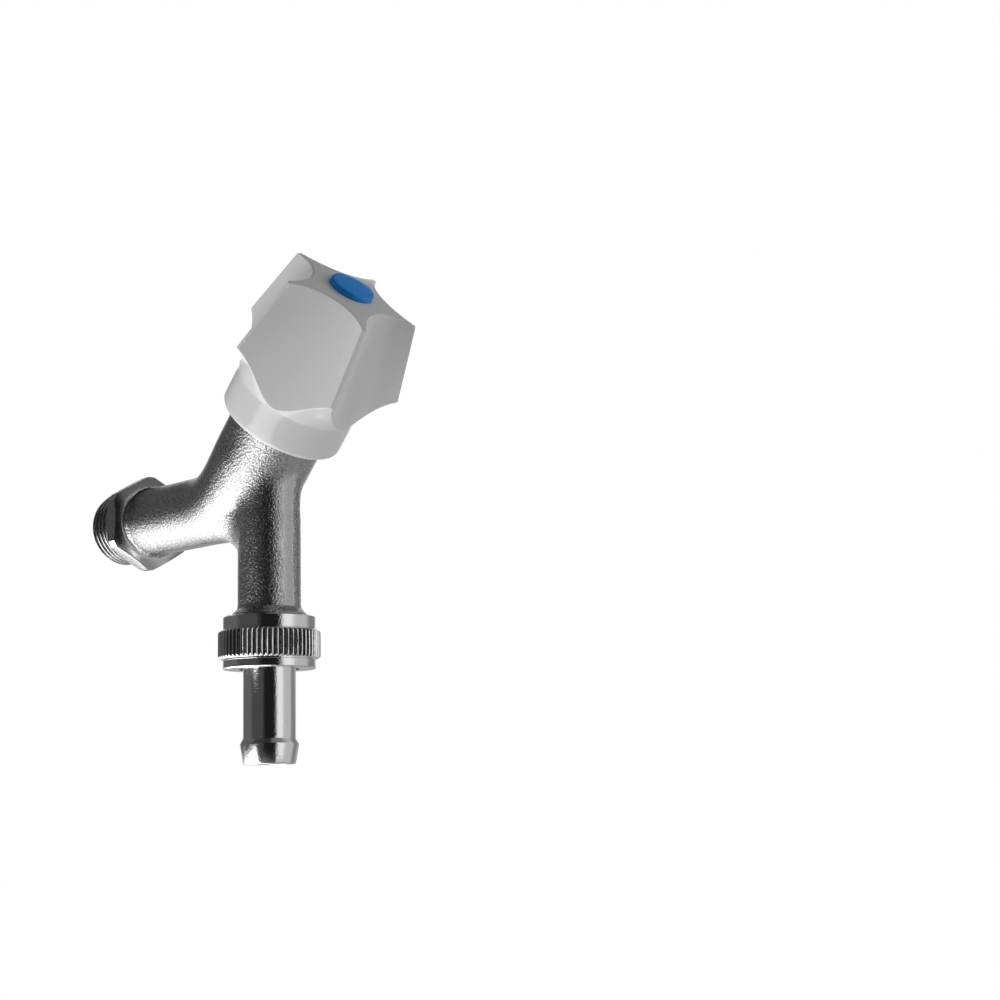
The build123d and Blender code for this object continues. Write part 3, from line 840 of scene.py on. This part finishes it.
def tip_reach(height):
    """Reach of a lobe's tip at a height above the skirt's lower edge."""
    return top_radius + (handle_height - height) * (foot_radius - top_radius) / rise


def star_radius(turn, height):
    """Reach of the star at an angle from the nearest lobe; each flute is an arc of a circle."""
    reach = tip_reach(height)
    down = (handle_height - height) / (handle_height - skirt_height)
    floor = floor_top + down * (floor_foot - floor_top)
    shoulder = reach - tip_rise
    corner = shoulder * cos(pi / lobes - asin(tip_width / 2 / shoulder))
    centre = (shoulder**2 - floor**2) / (2 * (corner - floor))
    across = centre * sin(pi / lobes - turn)
    square = (centre - floor) ** 2 - across**2
    if square <= 0:
        return reach
    flute = centre * cos(pi / lobes - turn) - sqrt(square)
    return soft_min(flute, reach, tip_round)


half_chord = Vector((band - skirt_radius, foot_height - skirt_height)) / 2
stand_off = sqrt(neck_curve**2 - half_chord.length_squared) / half_chord.length
neck_centre = Vector((skirt_radius, skirt_height)) + half_chord
neck_centre += Vector((half_chord.y, -half_chord.x)) * stand_off


def neck_radius(height):
    """Reach of the hollow curve under the lobes."""
    return neck_centre.x - sqrt(neck_curve**2 - (height - neck_centre.y) ** 2)


def dome_height(radius):
    """Height of the slightly domed top at a radius."""
    return handle_height + dome_rise - 2 * dome_rise * (radius / band) ** 2


lobe_reach = [round(tip_reach(height), 2) for height in (foot_height, handle_height)]
print("reach at a lobe's foot and at its top:", lobe_reach)

# %% Directions round the handle
tip_shares = [0.0, 0.3, 0.55, 0.75, 0.9, 1.0]
flute_columns = 24
crowding = 1.7
flute_shares = [(step / flute_columns) ** crowding for step in range(1, flute_columns + 1)]


def from_lobe(column, height):
    """Angle of a column from its lobe; the first columns keep to the tip's corner."""
    half_tip = asin(tip_width / 2 / (tip_reach(height) - tip_rise))
    if column < len(tip_shares):
        return half_tip * tip_shares[column]
    return half_tip + (pi / lobes - half_tip) * flute_shares[column - len(tip_shares)]


last = len(tip_shares) + len(flute_shares) - 1
print("columns in a sector:", 2 * last)

# %% Outline of the handle in one direction
edge_steps = 8
neck_steps = 15
corner_steps = 5
flute_steps = 60
top_steps = 14
crease_size = 0.3
rim_size = 0.4
recess_radius = 6.15
halvings = 40


def bend(start, corner, end, steps):
    """Points of a soft corner between two places on its sides."""
    shares = [step / steps for step in range(steps + 1)]
    return [start * (1 - t) ** 2 + corner * 2 * t * (1 - t) + end * t**2 for t in shares]


def outside_points(column):
    """Skirt, neck, flute, rim and top, as (radius, height) points in one direction."""

    def star(height):
        return star_radius(from_lobe(column, height), height)

    low, high = skirt_height, foot_height
    for _ in range(halvings):
        middle = (low + high) / 2
        low, high = (middle, high) if neck_radius(middle) < star(middle) else (low, middle)
    crease = low
    soft = min(crease_size, (crease - skirt_height) * 0.4)
    points = []
    for step in range(edge_steps + 1):
        turn = pi / 2 * step / edge_steps
        edge_radius = skirt_radius - skirt_round * (1 - sin(turn))
        points.append(Vector((edge_radius, skirt_round * (1 - cos(turn)))))
    for share in (0.25, 0.5, 0.75, 0.99):
        points.append(Vector((skirt_radius, skirt_round + (skirt_height - skirt_round) * share)))
    neck_start, neck_end = skirt_height + 0.06, crease - soft
    for step in range(neck_steps):
        height = neck_start + (neck_end - neck_start) * step / neck_steps
        points.append(Vector((neck_radius(height), height)))
    before = Vector((neck_radius(neck_end), neck_end))
    after = Vector((star(crease + soft), crease + soft))
    points += bend(before, Vector((star(crease), crease)), after, corner_steps)
    top = dome_height(star(handle_height))
    for step in range(1, flute_steps):
        height = crease + soft + (top - rim_size - crease - soft) * step / flute_steps
        points.append(Vector((star(height), height)))
    before = Vector((star(top - rim_size), top - rim_size))
    inner = star(top) - rim_size
    after = Vector((inner, dome_height(inner)))
    points += bend(before, Vector((star(top), top)), after, corner_steps)
    for step in range(1, top_steps + 1):
        radius = inner + (recess_radius - inner) * step / top_steps
        points.append(Vector((radius, dome_height(radius))))
    return points


# %% Inside of the handle
cap_room = 5.95
cap_seat = handle_height - 0.5
screw_room = 4.5
screw_hole = 2.15
web_floor, web_top = 33.6, 35.1
socket_radius = 5.0
hub_radius, hub_floor = 7.0, 23.0
ceiling_radius, ceiling = 9.0, 30.7
inside = [
    (cap_room, handle_height + 0.95),
    (cap_room, cap_seat),
    (screw_room, cap_seat),
    (screw_room, web_top),
    (screw_hole, web_top),
    (screw_hole, web_floor),
    (socket_radius, web_floor),
    (socket_radius, hub_floor),
    (hub_radius, hub_floor),
    (hub_radius, ceiling),
    (ceiling_radius, ceiling),
    (skirt_inside, skirt_height),
    (skirt_inside, 0.25),
    (skirt_inside + 0.1, 0.03),
]
half_sector = [outside_points(column) for column in range(last + 1)]
print("handle outline has", len(half_sector[0]) + len(inside), "points")

# %% Join the rings and draw them in to the star
handle = bmesh.new()
sector = list(range(last)) + list(range(last, 0, -1))
count = lobes * len(sector)
rings = []
for _ in range(len(half_sector[0]) + len(inside)):
    circle = bmesh.ops.create_circle(handle, cap_ends=False, radius=1.0, segments=count)
    rings.append(circle["verts"])
for pair in zip(rings, rings[1:] + rings[:1]):
    loops = []
    for ring in pair:
        members = set(ring)
        for vert in ring:
            loops += [edge for edge in vert.link_edges if edge.other_vert(vert) in members]
    bmesh.ops.bridge_loops(handle, edges=list(dict.fromkeys(loops)))
for place in range(count):
    lobe, step = divmod(place, len(sector))
    column = sector[step]
    mirrored = step > last
    middle = radians(phase) + 2 * pi / lobes * (lobe + 1 if mirrored else lobe)
    for ring, (radius, height) in zip(rings, half_sector[column] + inside):
        turn = from_lobe(column, min(height, handle_height))
        angle = middle - turn if mirrored else middle + turn
        ring[place].co = (radius * cos(angle), radius * sin(angle), height)
bmesh.ops.recalc_face_normals(handle, faces=handle.faces)
finished(
    "fluted_handle",
    handle,
    stem_place @ Matrix.Translation((0, 0, handle_bottom)),
    "handle_group",
    [handle_plastic],
    stands_for=("handle",),
    flat_over=50,
)

# %% [markdown]
# ## The cap
# The blue cap tells cold from hot. It is a plain disc that stands a little proud of the top, with
# a soft edge that carries the light.

# %% Cap
cap_radius = 5.9
cap_top = handle_bottom + handle_height + dome_rise + 1.5
cap_floor = handle_bottom + handle_height + dome_rise - 1.6
peg_outside = 4.45
peg_inside = 3.55
peg_end = cap_floor - 2
cap = spun(
    [
        (0, cap_top),
        (3.0, cap_top - 0.03),
        (cap_radius, cap_top - 0.12),
        (cap_radius, cap_floor),
        (peg_outside, cap_floor),
        (peg_outside, peg_end),
        (peg_inside, peg_end),
        (peg_inside, cap_floor),
        (0, cap_floor),
    ]
)
break_corners(cap, 0.42, over=45, segments=4)
finished(
    "cold_cap", cap, stem_place, "handle_group", [cap_plastic], ("index_cap",), flat_over=50
)

# %% [markdown]
# ## The union nut
# Fingers tighten this nut, so its band has sixty straight teeth. A lathe cut the outline and a
# knurling wheel pressed the teeth, and the mesh follows: the outline is spun in fine steps, and
# the band's points are then pressed in between the teeth.

# %% Spin the nut and press its teeth
nut_top = -31.3
nut_bottom = -44.9
knurl_high = nut_top - 3.7
knurl_low = knurl_high - 7.3
nut_radius = 12.0
knurl_radius = 13.2
groove_radius = 11.75
nut_inside = 10.6
nut_ledge = -42.7
tail_hole = 7.74
tooth_count = 60
groove_shape = [0.62, 0.44, 0.2, 0.05, 0.0, 0.05, 0.2, 0.44]
nut = spun(
    [
        (nut_inside, nut_top),
        (11.6, nut_top),
        (nut_radius, nut_top - 0.35),
        (nut_radius, knurl_high + 0.3),
        (groove_radius, knurl_high + 0.15),
        (groove_radius, knurl_high),
        (12.5, knurl_high),
        (12.86, knurl_high - 0.2),
        (13.12, knurl_high - 0.5),
        (knurl_radius, knurl_high - 0.8),
        (knurl_radius, (knurl_high + knurl_low) / 2),
        (knurl_radius, knurl_low + 0.8),
        (13.12, knurl_low + 0.5),
        (12.86, knurl_low + 0.2),
        (12.5, knurl_low),
        (groove_radius, knurl_low),
        (groove_radius, knurl_low - 0.3),
        (nut_radius, knurl_low - 0.45),
        (nut_radius, nut_bottom + 0.3),
        (11.7, nut_bottom),
        (tail_hole, nut_bottom),
        (tail_hole, nut_ledge),
        (nut_inside, nut_ledge),
    ],
    closed=True,
    steps=tooth_count * len(groove_shape),
)
knurl_inside = 12.4
for vert in nut.verts:
    reach = hypot(vert.co.x, vert.co.y)
    if reach < knurl_inside:
        continue
    angle = vert.co.xy.angle_signed(Vector((1, 0))) % (2 * pi)
    step = round(angle / (2 * pi) * tooth_count * len(groove_shape))
    pressed = min(reach, knurl_radius - groove_shape[step % len(groove_shape)])
    vert.co.x *= pressed / reach
    vert.co.y *= pressed / reach
bmesh.ops.recalc_face_normals(nut, faces=nut.faces)
finished(
    "knurled_nut",
    nut,
    outlet_place,
    "nut_group",
    [polished_chrome],
    ("union_nut",),
    flat_over=32,
)

# %% [markdown]
# ## The hose tail
# One barb grips the hose. The tail is turned in one piece with the flange that the nut pulls up
# against the gasket, and its edges are broken so that the hose slides on.

# %% Hose tail
tail_top = -40.2
tail_end = -69.2
tail_bore = 5.0
flange_radius = 9.9
flange_floor = tail_top - 2.5
tail_neck = 6.78
barb_top = tail_end + 5.3
tail = spun(
    [
        (tail_bore, tail_top),
        (flange_radius, tail_top),
        (flange_radius, flange_floor),
        (tail_neck, flange_floor),
        (tail_neck, barb_top + 1.5),
        (6.86, barb_top + 1.2),
        (7.5, barb_top + 0.12),
        (7.59, barb_top - 0.15),
        (6.75, tail_end + 0.25),
        (6.5, tail_end),
        (5.35, tail_end),
        (tail_bore, tail_end + 0.4),
    ],
    closed=True,
)
break_corners(tail, 0.1, over=25, segments=2)
finished(
    "turned_tail", tail, outlet_place, "tail_group", [polished_chrome], ("hose_tail",)
)

# %% [markdown]
# ## What is left plain
# Every other solid keeps its own shape, because it is right as it is, and only needs its finish.

# %% Dress the other solids
plain_finishes = (
    (valve_plastic, "check_guide", "spindle_washer"),
    (rubber, "check_seal", "check_o_ring", "lower_o_ring", "upper_o_ring"),
    (rubber, "seat_washer", "hose_gasket"),
    (brass, "bonnet", "spindle", "valve_plug", "washer_nut"),
    (steel, "spindle_clip", "handle_screw"),
    (fibre, "bonnet_gasket"),
)
hidden_finishes = (
    (blasted_chrome, "body"),
    (valve_plastic, "check_cage"),
    (poppet_plastic, "check_poppet"),
    (steel, "check_spring"),
    (handle_plastic, "handle"),
    (cap_plastic, "index_cap"),
    (polished_chrome, "union_nut", "hose_tail"),
)
for material, *nodes in plain_finishes + hidden_finishes:
    for solid in (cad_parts[node] for node in nodes):
        if not solid.material_slots:
            solid.data.materials.append(material)
        for slot in solid.material_slots:
            slot.material = material
    print(material.name, "on", *nodes)

# %% [markdown]
# ## The camera and the room
# The camera stands to the left of the tap and a little below it, as in the photograph. The room
# is white to the camera and to reflections, and lights dull surfaces at less than half of that
# strength, so the lamps can still shape them.

# %% Camera at the photograph's angle
view_azimuth = -43.17
view_height = -9.0
view_distance = 0.48861
view_roll = -1.16
aim_across = 0.06033
aim_height = -0.00189
lens = 67.27

azimuth, height = radians(view_azimuth), radians(view_height)
aim = Vector((aim_across * cos(azimuth), aim_across * sin(azimuth), aim_height))
aim.y -= outlet_reach * mm
back = Vector((sin(azimuth) * cos(height), -cos(azimuth) * cos(height), sin(height)))
across = (-back).cross(Vector((0, 0, 1))).normalized()
upward = across.cross(-back)
roll = radians(view_roll)
rolled_across = cos(roll) * across + sin(roll) * upward
rolled_up = cos(roll) * upward - sin(roll) * across

camera_data = bpy.data.cameras.new("camera")
camera_data.lens = lens
camera_data.sensor_width = 36.0
camera_data.clip_start = 0.01
camera_data.clip_end = 20.0
camera = bpy.data.objects.new("camera", camera_data)
bpy.context.scene.collection.objects.link(camera)
turn = Matrix((rolled_across, rolled_up, back)).transposed()
camera.matrix_world = Matrix.Translation(aim + back * view_distance) @ turn.to_4x4()
bpy.context.scene.camera = camera
print("camera at", [round(v, 4) for v in camera.location])

# %% White room
world = bpy.data.worlds.new("white room")
bpy.context.scene.world = world
world.use_nodes = True
tree = world.node_tree
background = tree.nodes["Background"]
background.inputs["Color"].default_value = (1, 1, 1, 1)


def seen_directly(tree):
    """One for rays from the camera, a mirror or glass, and nought for other light."""
    rays = tree.nodes.new("ShaderNodeLightPath").outputs
    clear = math_node(tree, "MAXIMUM", rays["Is Camera Ray"], rays["Is Transmission Ray"])
    return math_node(tree, "MAXIMUM", clear, rays["Is Glossy Ray"])


dull_light = 0.4
strength = math_node(tree, "MULTIPLY_ADD", seen_directly(tree), 1 - dull_light, dull_light)
tree.links.new(strength, background.inputs["Strength"])
print("the room lights dull surfaces at", dull_light)

# %% Pale floor
floor_depth = 0.8
floor_reach = 4.0
floor_glow = 0.64
floor_mesh = bmesh.new()
bmesh.ops.create_grid(floor_mesh, x_segments=1, y_segments=1, size=floor_reach)
floor_mesh.transform(Matrix.Translation((0, 0, -floor_depth)))
floor = set_out("floor", floor_mesh)
floor_white, tree, shader = new_finish("white floor", (0.9, 0.9, 0.9), 0.0, 0.9)
shader.inputs["Emission Color"].default_value = (1, 1, 1, 1)
glow = math_node(tree, "MULTIPLY", seen_directly(tree), floor_glow)
tree.links.new(glow, shader.inputs["Emission Strength"])
floor.data.materials.append(floor_white)
print("floor", floor_depth, "m below the inlet")

# %% [markdown]
# ## Lamps and cards
# Chrome has no colour of its own: it shows the room. In a plain white room it would vanish, so a
# photographer stands cards round it. Dark ones give the deep bands, a bright one at the lower
# left gives the broad highlight and grey ones the softer bands at the right. Each card fades at
# its borders, so that no hard line crosses the plating, and only reflections see it. The soft
# lamps do the opposite: they light the dull plastic and no mirror shows them, because a lamp
# doesn't hide the white room behind it. The third lamp is for the views from behind.

# %% Places round the tap
middle = Vector((0, -0.05, 0))


def toward(side, rise):
    """Direction from the tap, in degrees to the camera's right and above its level."""
    side, rise = radians(side), radians(rise)
    return back * cos(side) * cos(rise) + across * sin(side) * cos(rise) + upward * sin(rise)


def facing_tap(side, rise, distance):
    """Matrix of a flat thing that stands off in one direction and faces the tap."""
    direction = toward(side, rise)
    turn = direction.to_track_quat("Z", "Y").to_matrix().to_4x4()
    return Matrix.Translation(middle + direction * distance) @ turn


def spread(degrees, distance):
    """Width that spans an angle as seen from the tap."""
    return 2 * distance * tan(radians(degrees / 2))


# %% Cards


def edge_share(tree, along, soft):
    """One inside a card and falling smoothly to nought over its soft border."""
    outward = math_node(tree, "ABSOLUTE", math_node(tree, "MULTIPLY_ADD", along, 2.0, -1.0))
    return eased(tree, outward, 1.0, 1.0 - soft)


def card(name, side, rise, distance, wide, tall, glow, soft=0.3):
    """Card that only reflections can see; it spans two angles and fades out at its borders."""
    material = bpy.data.materials.new(name)
    material.use_nodes = True
    tree = material.node_tree
    tree.nodes.remove(tree.nodes["Principled BSDF"])
    where = tree.nodes.new("ShaderNodeTexCoord")
    parts = tree.nodes.new("ShaderNodeSeparateXYZ")
    tree.links.new(where.outputs["UV"], parts.inputs[0])
    shares = [edge_share(tree, parts.outputs[axis], soft) for axis in "XY"]
    covered = math_node(tree, "MULTIPLY", *shares)
    surface = tree.nodes.new("ShaderNodeEmission")
    surface.inputs["Color"].default_value = (1, 1, 1, 1)
    surface.inputs["Strength"].default_value = glow
    clear = tree.nodes.new("ShaderNodeBsdfTransparent")
    blend = tree.nodes.new("ShaderNodeMixShader")
    tree.links.new(covered, blend.inputs[0])
    tree.links.new(clear.outputs[0], blend.inputs[1])
    tree.links.new(surface.outputs[0], blend.inputs[2])
    tree.links.new(blend.outputs[0], tree.nodes["Material Output"].inputs["Surface"])
    mesh = bmesh.new()
    mesh.loops.layers.uv.new("across")
    bmesh.ops.create_grid(mesh, x_segments=1, y_segments=1, size=0.5, calc_uvs=True)
    size = Matrix.Diagonal((spread(wide, distance), spread(tall, distance), 1, 1))
    mesh.transform(facing_tap(side, rise, distance) @ size)
    panel = set_out(name, mesh)
    panel.data.materials.append(material)
    panel.visible_camera = False
    panel.visible_diffuse = False
    panel.visible_shadow = False
    panel.visible_transmission = False


# Side and rise, distance in metres, width and height in degrees, glow, and soft border.
card("card_lower_left", -82, -43, 0.75, 92, 58, 3.0, 0.4)
card("card_front_black", 10, 12, 0.95, 60, 100, 0.012, 0.2)
card("card_front_left", -40, 14, 1.05, 84, 92, 0.065)
card("card_left", -112, 28, 1.25, 104, 96, 0.12)
card("card_overhead", 0, 86, 1.0, 125, 125, 0.03)
card("card_overhead_right", 100, 60, 0.9, 100, 54, 0.16)
card("card_right", 54, 8, 0.93, 34, 90, 0.85, 0.2)
card("card_right_soft", 90, 6, 0.98, 60, 96, 0.5, 0.3)
card("card_right_back", 128, 4, 1.2, 76, 100, 0.22)
card("card_low_back", 172, -34, 1.1, 70, 60, 0.4)
card("card_low_front", 20, -50, 0.8, 90, 60, 0.2)
card("card_under", 80, -62, 0.7, 100, 60, 0.32)
card("card_behind_left", -40, 10, 1.6, 140, 110, 0.04, 0.15)
card("card_behind_right", 95, 6, 1.6, 120, 120, 0.3, 0.15)

# %% Soft lamps


def lamp(name, side, rise, distance, wide, tall, watts):
    """Soft lamp that spans two angles and lights only dull surfaces."""
    data = bpy.data.lights.new(name, "AREA")
    data.shape = "RECTANGLE"
    data.size = spread(wide, distance)
    data.size_y = spread(tall, distance)
    data.energy = watts
    holder = bpy.data.objects.new(name, data)
    bpy.context.scene.collection.objects.link(holder)
    holder.matrix_world = facing_tap(side, rise, distance)
    holder.visible_camera = False
    holder.visible_glossy = False
    print(name, round(data.size, 2), "by", round(data.size_y, 2), "m")


# Side and rise, distance in metres, width and height in degrees, and watts.
lamp("lamp_lower_left", -70, -34, 0.62, 60, 44, 7.2)
lamp("lamp_right", 102, 8, 1.0, 40, 78, 9.0)
lamp("lamp_behind", 172, 4, 1.0, 60, 60, 3.5)

# %% [markdown]
# ## Colour view
# The scene's view transform is set to Standard. The dressed tap has to stay inside the box of
# its solids.

# %% Finish
bpy.context.scene.view_settings.view_transform = "Standard"
